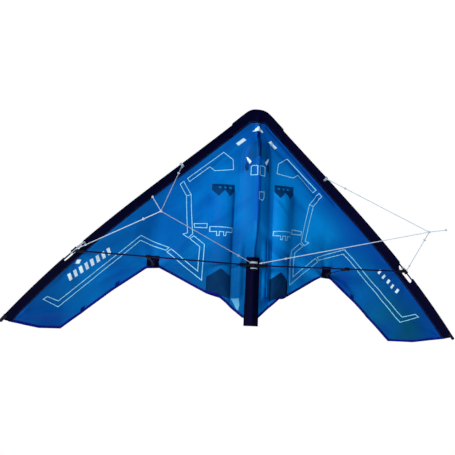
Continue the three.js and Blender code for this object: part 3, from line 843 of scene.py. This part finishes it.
def add_sail(side):
    xs = np.unique(np.concatenate([np.arange(0, 62, 2.5), np.arange(60, 152, 2.5), NACELLE_X,
                                   np.arange(152, SAIL_EDGE_X, 6), TE_LINE[1:8, 0], [SAIL_EDGE_X]]))
    top = lambda x: inset_z(x, SLEEVE_WIDTH - 4)
    bottom = lambda x: np.minimum(te_z(x) + 1, top(x) - 0.5)
    piece = sheet_piece(f"{side}_sail_cloth", panel_grid(xs, top, bottom, 110, side), SAIL[side])
    fit(piece, side, "sail", ROOT_BEND)


def te_path(first=26, last=756):
    """The trailing edge's corners from one station to another."""
    inner = TE_LINE[(TE_LINE[:, 0] > first) & (TE_LINE[:, 0] < last)]
    return np.vstack([(first, te_z(first)), inner, (last, te_z(last))])


def add_hem(side):
    piece = join_meshes(f"{side}_hem_tape", [ribbon_part(te_path(), -0.6, 7.0, side, 0.0)], HEM)
    thicken(piece, 1.7)
    fit(piece, side, "hem", ROOT_BEND)


SLEEVE_STEPS = np.array([0, 0.006, 0.03, 0.07, 0.12, 0.18, 0.24, 0.3, 0.38, 0.5, 0.65, 0.85, 1.0])
SLOT_STEPS = np.array([0, 0.4, 1.2, 2.5, 4.5, 8])
CAP_STEPS = np.array([0, 0.02, 0.07, 0.15, 0.25, 0.4, 0.6, 0.8, 0.93, 1.0])
FLAP_STEPS = np.array([0, 0.06, 0.12, 0.18, 0.26, 0.4, 0.6, 0.8, 0.95, 1.0])


def sleeve_cut(x, side):
    """How much of the sleeve's fold is cut away at a station: the slot at the connector."""
    u = np.clip((2 * x - sum(SLOT_X)) / (SLOT_X[1] - SLOT_X[0]), -1, 1)
    return SLOT_DEPTH[side] * (1 - u ** 8) ** 0.5


def sleeve_half_thickness(inset):
    """Half thickness of the sleeve: round over the rod, then two flat layers."""
    over_rod = np.sqrt(np.maximum(4.75 ** 2 - (inset - ROD_INSET) ** 2, 0))
    layers = 1.05 + 1.2 * smooth((15 - inset) / 7)
    return np.where(inset < ROD_INSET, np.maximum(over_rod, 0.1), np.maximum(over_rod, layers))


def sleeve_section(x, side):
    cut = sleeve_cut(x, side)
    start = 0.3 + cut
    end = min(SLEEVE_WIDTH, (le_z(x) - te_z(x)) / math.hypot(1, le_slope(x)))
    inset = start + (end - start) * SLEEVE_STEPS
    z = inset_z(x, inset)
    half = np.where(cut > 9, 1.05, sleeve_half_thickness(inset))
    y = sail_y(x, z)
    return section(x, z, y - half, y + half, side)


def add_sleeve(side):
    a, b = SLOT_X
    around_slot = [a + SLOT_STEPS, np.arange(a + 12, b - 8, 8), b - SLOT_STEPS]
    xs = np.unique(np.concatenate([np.arange(40, a, 10), *around_slot, np.arange(b + 6, 762, 9),
                                   [766, 770, 774, 777]]))
    piece = shell_piece(f"{side}_le_sleeve_cloth", [sleeve_section(x, side) for x in xs], NAVY)
    fit(piece, side, "le_sleeve")


STITCH_PITCH, STITCH_LENGTH, STITCH_WIDTH, STITCH_HEIGHT = 5.0, 3.2, 0.8, 0.45


def stitch_part(path, side, off):
    """A row of thread dashes along an (x, z) path, in front of the sail and behind it."""
    path = floats(path)
    run = np.concatenate([[0], np.cumsum(np.linalg.norm(np.diff(path, axis=0), axis=1))])
    points, faces = [], []
    for face_off in (off, -off):
        for s in np.arange(2, run[-1] - STITCH_LENGTH, STITCH_PITCH):
            a, b = (np.array([np.interp(at, run, line) for line in path.T]) for at in (s, s + STITCH_LENGTH))
            across = unit(b - a)[::-1] * (1, -1) * STITCH_WIDTH / 2
            corners = np.array([a - across, a + across, b + across, b - across])
            mid = (a + b) / 2
            for lift, shrink in ((face_off, 1.0), (face_off + math.copysign(STITCH_HEIGHT, face_off), 0.75)):
                points += list(on_sail(*(mid + (corners - mid) * shrink).T, side, lift))
            k = len(points) - 8
            faces += [(k, k + 1, k + 2, k + 3), (k + 4, k + 7, k + 6, k + 5)]
            faces += [(k + i, k + 4 + i, k + 4 + (i + 1) % 4, k + (i + 1) % 4) for i in range(4)]
    return np.array(points), faces


def add_stitching(side):
    """Rows of stitches along the sleeve, the hem and the nose patch."""
    xs, cap_xs = np.linspace(96, 748, 90), np.linspace(2, 86, 30)
    rows = ((np.stack([xs, inset_z(xs, SLEEVE_WIDTH - 3)], 1), 1.05), (te_path(30, 748) + (0, 5.4), 0.85),
            (np.stack([cap_xs, cap_low(cap_xs) + 4], 1), 2.7))
    piece = join_meshes(f"{side}_stitching", [stitch_part(path, side, off) for path, off in rows], THREAD)
    fit(piece, side, bend=ROOT_BEND)


def cap_top(x):
    return soft_min(le_z(x) + 4.5, NOSE_Z - NOSE_CROWN * x * x, 5.0)


def cap_low(x):
    return soft_min(inset_z(x, SLEEVE_WIDTH - 1), CAP_LOW_Z + 0 * x, 3.0)


def add_nose_cap(side):
    """Half of the patch folded over both sleeves at the nose: round at its top, flat at its foot."""
    sections = []
    for x in np.linspace(0, CAP_END_X, 34):
        top, low = float(cap_top(x)), float(cap_low(x))
        z = top + (low - top) * CAP_STEPS
        down = top - z
        fold = np.sqrt(np.clip(1 - (1 - down / CAP_FOLD) ** 2, 0.0004, 1))
        half = CAP_HALF * np.where(down < CAP_FOLD, fold, 1) - CAP_THINNING * smooth((down - 12) / 22)
        over_rod = (ROD_COVER + 1.4) * max(1 - (x / 14) ** 2, 0) * (down > 4)
        y = sail_y(x, z)
        sections.append(section(x, z, y - np.maximum(half, over_rod), y + half, side))
    fit(shell_piece(f"{side}_nose_cap_cloth", sections, NAVY), side, "nose_cap", ROOT_BEND)


def add_spine_sleeve(side):
    """Half of the wide flat sleeve round the lower spine."""
    sections = []
    for z in np.linspace(FLAP_TOP_Z, FLAP_END_Z, 60):
        x = (FLAP_HALF + FLAP_FLARE * (FLAP_TOP_Z - z) / (FLAP_TOP_Z - FLAP_END_Z)) * FLAP_STEPS
        ridge = FLAP_RIDGE * np.sqrt(np.clip(1 - (x / 7.5) ** 2, 0, 1)) + FLAP_LAYERS
        sag = 0.35 * math.sin(z / 17 + SIDES[side]) * smooth((x - 6) / 8)
        y = sail_y(x, np.full_like(x, z)) * smooth(x / 12) - 0.3 + sag
        sections.append(section(x, z, y - ridge, y + ridge, side))
    fit(shell_piece(f"{side}_spine_sleeve_cloth", sections, NAVY), side, "spine_flap", ROOT_BEND)


def add_te_patch(side):
    """Webbing patch folded over the trailing edge at the standoff."""
    sections = []
    for x in np.linspace(*PATCH_X, 14):
        z = np.linspace(PATCH_TOP_Z, float(te_z(x)) - 1.5, 12)
        y, half = front_y(x, z, side), 1.5 + 0.25 * np.sin(z / 3.1 + x)
        sections.append(section(x, z, y - half, y + half, side))
    fit(shell_piece(f"{side}_te_patch_cloth", sections, NAVY), side, "te_patch")


# ---- prints
PANEL_SHIFT = {"left": -6, "right": 6}
TEETH_SHIFT = {"left": -10, "right": -2}
INTAKE_HOLES = ((85, 5.5), (103, 4), (119, 4.5))
HEM_TABS = {"left": (410, 514), "right": (412,)}
PRINT_WIDTH = 2.3
PRINT_LIFT = 1.1
OUTLINES = {
    "flag": ([(112, 361), (79, 340), (76, 308), (137, 300), (154, 311), (217, 259), (225, 268)], True),
    "strip_top": ([(237, 258), (248, 248), (222, 214), (207, 219)], True),
    "strip_long": ([(222, 214), (206, 98), (220, 93), (203, 82), (190, 95), (207, 219)], False),
    "hook": ([(186, 89), (152, 62), (155, -53), (265, 34), (253, 44), (168, -24), (166, 55), (198, 80)],
             True),
    "band": ([(260, 48), (269, 39), (356, 65), (600, -157), (653, -137), (641, -128), (602, -139),
              (357, 80)], True),
    "box": ([(188, 128), (148, 130), (148, 116), (186, 116)], True),
    "tee": ([(72, 117), (140, 120), (140, 104), (123, 104), (122, 91), (115, 91), (115, 104),
             (102, 103), (102, 91), (95, 91), (94, 103), (71, 103)], True),
    "window": ([(24, 320), (17, 323), (4.5, 323), (4.5, 293), (24, 291.5)], True),
}
SOLIDS = {
    "arrowhead": [(0, 457), (20, 436), (0, 441)],
    "bar": [(73, 393), (48, 413), (39, 407), (64, 387)],
    "cheek": [(39, 350), (36, 350), (23.5, 336), (29, 327.5), (37, 342)],
}
# First and last bar of a row, how many, how tall and how wide.
MARK_ROWS = {"left": ((449, 16), (566, -70), 8, 21, 11), "right": ((484, 8), (556, -54), 5, 13, 9)}
MARK_SLANT = 3
SMALL_WINDOW = [(5, 238), (24, 239.5), (24, 219), (18, 211.5), (5, 215)]


def generic_marks(side):
    """Plain slanted bars in two sizes beside the leading edge, and a lozenge over the longer row."""
    start, end, count, tall, wide = MARK_ROWS[side]
    start, run = floats(start), np.subtract(end, start)
    way = unit(run)
    up = np.array([-way[1], way[0]])
    marks = []
    for i in range(count):
        at = start + run * i / (count - 1)
        top = at - way * MARK_SLANT + up * tall
        marks.append([at, at + way * wide, top + way * wide, top])
    if side == "left":
        mid = start + run * 0.72 + up * (tall + 16)
        marks.append([mid - way * 12, mid - up * 7, mid + way * 12, mid + up * 7])
    return marks


def add_prints(side):
    outlines = list(OUTLINES.values()) + ([(SMALL_WINDOW, True)] if side == "right" else [])
    lines = [ribbon_part(path, -PRINT_WIDTH / 2, PRINT_WIDTH / 2, side, PRINT_LIFT, closed)
             for path, closed in outlines]
    solids = [filled_part(corners, side, PRINT_LIFT) for corners in [*SOLIDS.values(), *generic_marks(side)]]
    for name, printed, colour in (("sail_prints", lines, FINE_INK), ("sail_marks", solids, INK)):
        film(join_meshes(f"{side}_{name}", printed, colour, True), side, ROOT_BEND)


def film(piece, side, bend=None, thick=0.2):
    """A thickened layer on the sail: with a bend it is baked in place, else it rides on its wing."""
    thicken(piece, thick)
    fit(piece, side, bend=bend)


# ---- air tubes
def teeth_z(x):
    """Foot of the toothed intake panel: two points across the tube."""
    return 228 + 20 * np.abs((np.clip(across_nacelle(x), -1, 0.999) + 1) % 1 * 2 - 1)


def chevron_z(x):
    return -14 - 27 * np.abs(across_nacelle(x))


def exhaust_end_z(x):
    return -100 + 11 * across_nacelle(x)


def oval(centre, half_width, half_height):
    turns = np.arange(14) * math.pi / 7
    return [(centre[0] + half_width * math.cos(t), centre[1] + half_height * math.sin(t)) for t in turns]


def add_filled(name, polygons, material, side, lift, bend=None):
    parts = [filled_part(corners, side, lift) for corners in polygons]
    film(join_meshes(f"{side}_{name}", parts, material, True), side, bend)


def add_front_panels(side):
    """The dark mesh panels that show at each engine tube: toothed intake and the chevron foot."""
    xs = np.linspace(NACELLE_X[0] + 0.5, NACELLE_X[1] - 0.5, 37)
    shift = PANEL_SHIFT[side]
    foot = lambda x: np.maximum(exhaust_end_z(x) + 1, te_z(x) + 3)
    teeth = lambda x: teeth_z(x) + TEETH_SHIFT[side]
    for name, top, low, rows, material in (("intake_teeth", level(NACELLE_TOP_Z + shift), teeth, 12, MESH),
                                           ("exhaust_chevron", chevron_z, foot, 26, TEAL)):
        piece = sheet_piece(f"{side}_{name}", panel_grid(xs, top, low, rows, side, 0.5), material, 0.25)
        fit(piece, side)
    holes = [oval((x, 252.5 + shift), half, 3.8) for x, half in INTAKE_HOLES]
    add_filled("intake_holes", holes, TUBE, side, 0.95)
    tabs = [[(x + dx, te_z(x + max(dx, 0)) + up) for dx, up in ((0, 6), (13, 6), (10, 19), (-3, 19))]
            for x in HEM_TABS[side]]
    add_filled("hem_tabs", tabs, DEEP, side, 0.6)


def add_exhaust_binding(side):
    """Black tape that shows where the engine tube's foot meets the trailing edge."""
    start, end = TAPE_X
    xs = np.linspace(start, end, 18)
    bulge = lambda x: te_z(x) + 1.5 - 5.5 * np.sin(np.clip((x - start) / (end - start), 0, 1) * math.pi) ** 0.6
    grid = panel_grid(xs, lambda x: te_z(x) + 7.5, bulge, 6, side, -1.6)
    fit(sheet_piece(f"{side}_exhaust_tape", grid, NAVY, 1.6), side)


def level(height):
    """A flat line: the same height all along."""
    return lambda at: height + 0 * at


def tunnel_grid(top, bottom, low, high, depth, rows, cols, side, start=0.0):
    """Cloth tunnel behind the sail, half an ellipse across, as [row, column, xyz]."""
    angle = np.linspace(start, math.pi, cols + 1)
    u = np.cos(angle)
    t = np.linspace(0, 1, rows + 1)[:, None]
    z = top(u) + (bottom(u) - top(u)) * t
    mid, half = (low(z) + high(z)) / 2, (high(z) - low(z)) / 2
    x = mid - half * u
    puff = 1 + 0.02 * np.sin(z / 23 + 3 * u) * np.sin(angle)
    y = sail_y(np.abs(x), z) + 0.6 + depth(z) * np.sin(angle) * puff
    return np.stack([SIDES[side] * x, y, z], -1)


def over_nacelle(line):
    """A z line given over the nacelle's width, as a function of the tunnel's cosine."""
    return lambda u: line(NACELLE_MID - NACELLE_HALF * u)


def add_nacelle(side):
    """An engine tube in three lengths, and the bindings round both its ends."""
    walls = level(NACELLE_X[0]), level(NACELLE_X[1]), level(NACELLE_DEPTH)
    top, foot = level(NACELLE_TOP_Z), over_nacelle(exhaust_end_z)
    seams = [over_nacelle(line) for line in (teeth_z, lambda x: teeth_z(x) - 0.2,
                                             lambda x: chevron_z(x) + 0.2, chevron_z)]
    for name, start, end, rows, material in (("intake", top, seams[0], 6, TEAL),
                                             ("nacelle", *seams[1:3], 60, TUBE),
                                             ("exhaust", seams[3], foot, 14, TEAL)):
        piece = sheet_piece(f"{side}_{name}_cloth", tunnel_grid(start, end, *walls, rows, 36, side), material)
        fit(piece, side, name)
    rims = [tube_part(tunnel_grid(line, line, *walls, 1, 36, side)[0], 1.5, 8) for line in (foot, top)]
    fit(join_meshes(f"{side}_nacelle_bindings", rims, NAVY), side)


def add_fuselage(side):
    """Half of the fuselage tube, from its pointed nose to its open foot."""
    walls = (lambda z: -fuselage_half(z)), fuselage_half, (lambda z: 0.85 * fuselage_half(z))
    grid = tunnel_grid(level(FUSELAGE_TOP_Z), level(FUSELAGE_END_Z), *walls, 90, 24, side, math.pi / 2)
    piece = sheet_piece(f"{side}_fuselage_half", grid, TUBE)
    fit(piece, side, bend=ROOT_BEND)
    fit(join_meshes(f"{side}_fuselage_binding", [tube_part(grid[-1], 1.4, 8)], NAVY), side, bend=ROOT_BEND)
    return piece


CANOPY_BAR = [(-0.5, 440), (4.5, 436), (5.5, 400), (4, 353), (-0.5, 356)]
LENS = [(8, 408), (20, 395), (30, 377), (37, 356), (36.5, 350), (24, 338), (4, 353.5), (4, 400)]
LOBE = [(38.5, 334), (32, 326), (31, 309), (38, 303), (42, 316)]


def add_canopy(side):
    """Half of the nose panel on the fuselage: a darker lens, its middle bar and the lobe below."""
    add_filled("canopy_lens", [LENS], CANOPY, side, 0.55, ROOT_BEND)
    add_filled("canopy_bar", [CANOPY_BAR], DEEP, side, 0.8, ROOT_BEND)
    add_filled("canopy_lobe", [LOBE], MESH, side, 0.6, ROOT_BEND)
    rim_z = FUSELAGE_TOP_Z - 136 * np.sin(np.linspace(1.5, 0.02, 26)) ** 2
    rim = ribbon_part(np.stack([fuselage_half(rim_z) - 3, rim_z], 1), -2.2, 2.2, side, 0.35)
    film(join_meshes(f"{side}_fuselage_seam", [rim], POCKET), side, ROOT_BEND, 0.3)


def add_painted_highlight():
    """Painted highlight: a paler patch on the sail between the left engine tube and the fuselage, where light
    catches a fold.
    """
    corners = [(66, -109), (42, -107), (38, -128), (40, -146), (46, -141)]
    add_filled("foot_highlight", [corners], PAINTED_HIGHLIGHT, "left", 0.5, ROOT_BEND)


def add_spine_pocket():
    """Strip of sail cloth sewn over the rod, from the cross to the nose patch, with its bar tacks."""
    x, z = np.meshgrid(np.linspace(-POCKET_HALF - 1.5, POCKET_HALF + 1.5, 29),
                       np.linspace(FLAP_TOP_Z - 1, POCKET_TOP_Z, 170))
    y = front_y(np.abs(x), z, "right") - 0.35 - 0.1 * np.sin(z / 19 + x / 6)
    strip = sheet_piece("spine_pocket_strip", np.stack([x, y, z], -1), POCKET, 0.3)
    fit(strip, node="spine_pocket")
    x = np.linspace(-4.5, 4.5, 9)
    tacks = [tube_part(np.stack([x, front_y(np.abs(x), z + 0 * x, "right") - 1.2, z + 0 * x], 1), 1.3, 8)
             for z in TACKS_Z]
    fit(join_meshes("spine_pocket_bartacks", tacks, DEEP))


# ---- rods and fittings
# Profiles of turned parts: (distance along, radius).
CROSS_ARM = [(0, 5.2), (5, 5.8), (9, 6.0), (11, 5.4), (13, 6.0), (15, 5.4), (17, 6.0), (19, 5.5),
             (35, 5.4), (36, 6.1), (39.5, 6.1), (40, 5.2), (40, 3.0), (37, 2.9)]
CONNECTOR_SLEEVE = [(0, 4.6), (0.8, 6.0), (2.6, 6.4), (3.4, 5.8), (15, 5.8), (18, 6.4), (20.5, 6.2),
                    (21.3, 4.8)]
CONNECTOR_ARM = [(0, 4.0), (2, 4.6), (10, 4.4), (13, 5.6), (19, 5.6), (21, 5.1), (27, 5.0), (28, 5.7),
                 (30.5, 5.7), (31, 4.9), (31, 3.0), (28, 2.9)]
CLIP_BARREL = [(0, 4.4), (0.7, 5.4), (2, 5.9), (14, 5.9), (15.3, 5.4), (16, 4.4)]
CLIP_CONE = [(0, 4.5), (2, 6.0), (8, 5.8), (16, 4.3), (23, 3.5), (24, 3.0), (24, 2.0), (21, 1.8)]
SOCKET = [(0, 6.5), (0.6, 8.3), (2.2, 8.5), (3.2, 7.6), (3.6, 5.4), (10, 4.9), (12, 5.4), (14, 4.8),
          (17.4, 4.4), (18, 3.8), (18, 2.0), (14, 1.8)]
TIP_CAP = [(0, 4.6), (0.8, 5.6), (3, 5.8), (4, 5.3)]
HUB = [(0, 7.5), (0.8, 9.2), (2.2, 10), (6, 10), (7, 9.4), (8, 10), (26, 10), (27, 9.4), (28, 10),
       (31.8, 10), (33.2, 9.2), (34, 7.5)]
LE_RODS = (("le_rod_upper", 34, 371), ("le_rod_lower", 372, 776))
HUB_BEND = (5, 14)


def spreader_ends():
    start = np.array([16, -3, 0.2])
    return start, on_line(le_point(CONNECTOR_X, ROD_INSET), start, 9)


def add_turned(name, parts, material, side=None, node=None, bend=None):
    fit(crisp(join_meshes(name, parts, material), 40), side, node, bend)


def add_moulding(side, node, parts, bend=None):
    add_turned(f"{side}_{node}_moulding", parts, RUBBER, side, node, bend)


def add_le_rods(side):
    for node, first, last in LE_RODS:
        path = [rod_point(x, side) for x in np.linspace(first, last, 40)]
        piece = join_meshes(f"{side}_{node}_tube", [tube_part(path, ROD_R, 20)], ROD)
        fit(piece, side, node)


def add_rod(side, node, a, b, radius, chamfer=0.6):
    """A straight rod with chamfered ends."""
    part = turned_part(a, b, rod_profile(float(np.linalg.norm(np.subtract(b, a))), radius, chamfer))
    add_turned(f"{side}_{node}_rod", [part], ROD, side, node)


def add_spreader(side):
    add_rod(side, "spreader", *(mirror(p, side) for p in spreader_ends()), ROD_R)


def add_cross_arm(side):
    """Rubber arm: a ribbed sleeve from the hub over the spreader's end."""
    root, tip = (mirror(on_line(*spreader_ends(), along), side) for along in (-9, 60))
    add_moulding(side, "cross_arm", [turned_part(root, tip, CROSS_ARM)], HUB_BEND)


def add_le_connector(side):
    sleeve = turned_part(rod_point(CONNECTOR_X - 9, side), rod_point(CONNECTOR_X + 9, side), CONNECTOR_SLEEVE)
    arm = turned_part(rod_point(CONNECTOR_X, side), mirror(spreader_ends()[0], side), CONNECTOR_ARM)
    add_moulding(side, "le_connector", [sleeve, arm])


def add_standoff(side):
    """The whisker rod, the clip that holds it on the spreader and its socket at the trailing edge."""
    start, end = spreader_ends()
    clip = on_line(start, end, CLIP_X - start[0])
    socket = np.array([SOCKET_AT[0], float(sail_y(*SOCKET_AT)) - 8, SOCKET_AT[1]])
    m = lambda a, b, distance=0: mirror(on_line(a, b, distance), side)
    barrel = turned_part(m(clip, start, 8), m(clip, end, 8), CLIP_BARREL)
    add_moulding(side, "standoff_clip", [barrel, turned_part(m(clip, socket), m(socket, clip), CLIP_CONE)])
    add_rod(side, "standoff", m(clip, socket, 10), m(socket, clip, 4), WHISKER_R, 0.4)
    add_moulding(side, "standoff_socket", [turned_part(m(socket, clip), m(clip, socket), SOCKET)])


def add_tip_cap(side):
    a, b = (rod_point(HALF_SPAN + d, side) for d in (-12, 5))
    length = float(np.linalg.norm(b - a))
    profile = TIP_CAP + [(length - 3, 5.2), (length - 0.8, 4.2), (length, 2.6)]
    add_moulding(side, "tip_cap", [turned_part(a, b, profile)])


def add_spine_parts():
    ends = (0, 0, ROD_END_Z), (0, 0, SPINE_TOP_Z)
    rod = turned_part(*ends, rod_profile(SPINE_TOP_Z - ROD_END_Z, 3))
    add_turned("spine_rod_tube", [rod], ROD, node="spine_rod")
    hub = turned_part((0, 0, -17), (0, 0, 17), HUB)
    add_turned("cross_hub_moulding", [hub], RUBBER, node="cross_hub")


def dress_cad_nodes():
    """Hidden CAD pieces that stay as they are get the same finishes."""
    slots = {row["node"]: row["material_slot"] for row in frame["record"]["subparts"]}
    for name, node in frame["nodes"].items():
        node.data.materials.clear()
        node.data.materials.append(FINISHES[slots[name]][0])


# ---- stage
def add_stage():
    """A pale floor, a white backdrop that lights the kite only a little, and the lamps."""
    g = Graph("pale_floor")
    speck = g.noise(3.0, 3)
    material = g.shade(g.mix(speck, (248, 248, 249), (255, 255, 255)), 0.8, speck, 0.05, 0.001,
                       Emission_Color=(1, 0.98, 0.94, 1), Emission_Strength=0.4)
    rim = ring(np.array((0, 0, FLOOR_Z)), np.array((1, 0, 0)), np.array((0, 1, 0)), FLOOR_RADIUS, FLOOR_SIDES)
    new_piece("floor", rim / MM, [tuple(range(FLOOR_SIDES))], material, True)
    g = Graph("studio", bpy.data.worlds)
    seen = g.add("ShaderNodeLightPath").outputs["Is Camera Ray"]
    level_seen = g.add("ShaderNodeMapRange", {"Value": seen, "To Min": ROOM_LIGHT, "To Max": 1.0})
    tint = g.add("ShaderNodeMix", {"Factor": seen, "A": ROOM_TINT, "B": (1, 1, 1, 1)}, data_type="RGBA")
    room = g.add("ShaderNodeBackground", {"Strength": level_seen.outputs["Result"],
                                          "Color": tint.outputs["Result"]})
    g.add("ShaderNodeOutputWorld", {"Surface": room.outputs[0]})
    bpy.context.scene.world = g.owner
    for lamp in LIGHTS:
        add_light(*lamp)


add_camera()
for side in SIDES:
    add_bridle(side)
add_hub_loops()
for side in SIDES:
    for add in (add_sail, add_hem, add_sleeve, add_nose_cap, add_spine_sleeve, add_te_patch, add_prints,
                add_front_panels, add_canopy, add_exhaust_binding, add_stitching, add_nacelle, add_le_rods,
                add_spreader, add_cross_arm, add_le_connector, add_standoff, add_tip_cap):
        add(side)
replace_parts(add_fuselage("left"), "fuselage")
add_fuselage("right")
add_painted_highlight()
add_spine_pocket()
add_spine_parts()
dress_cad_nodes()
add_stage()
bpy.context.scene.view_settings.view_transform = "Standard"
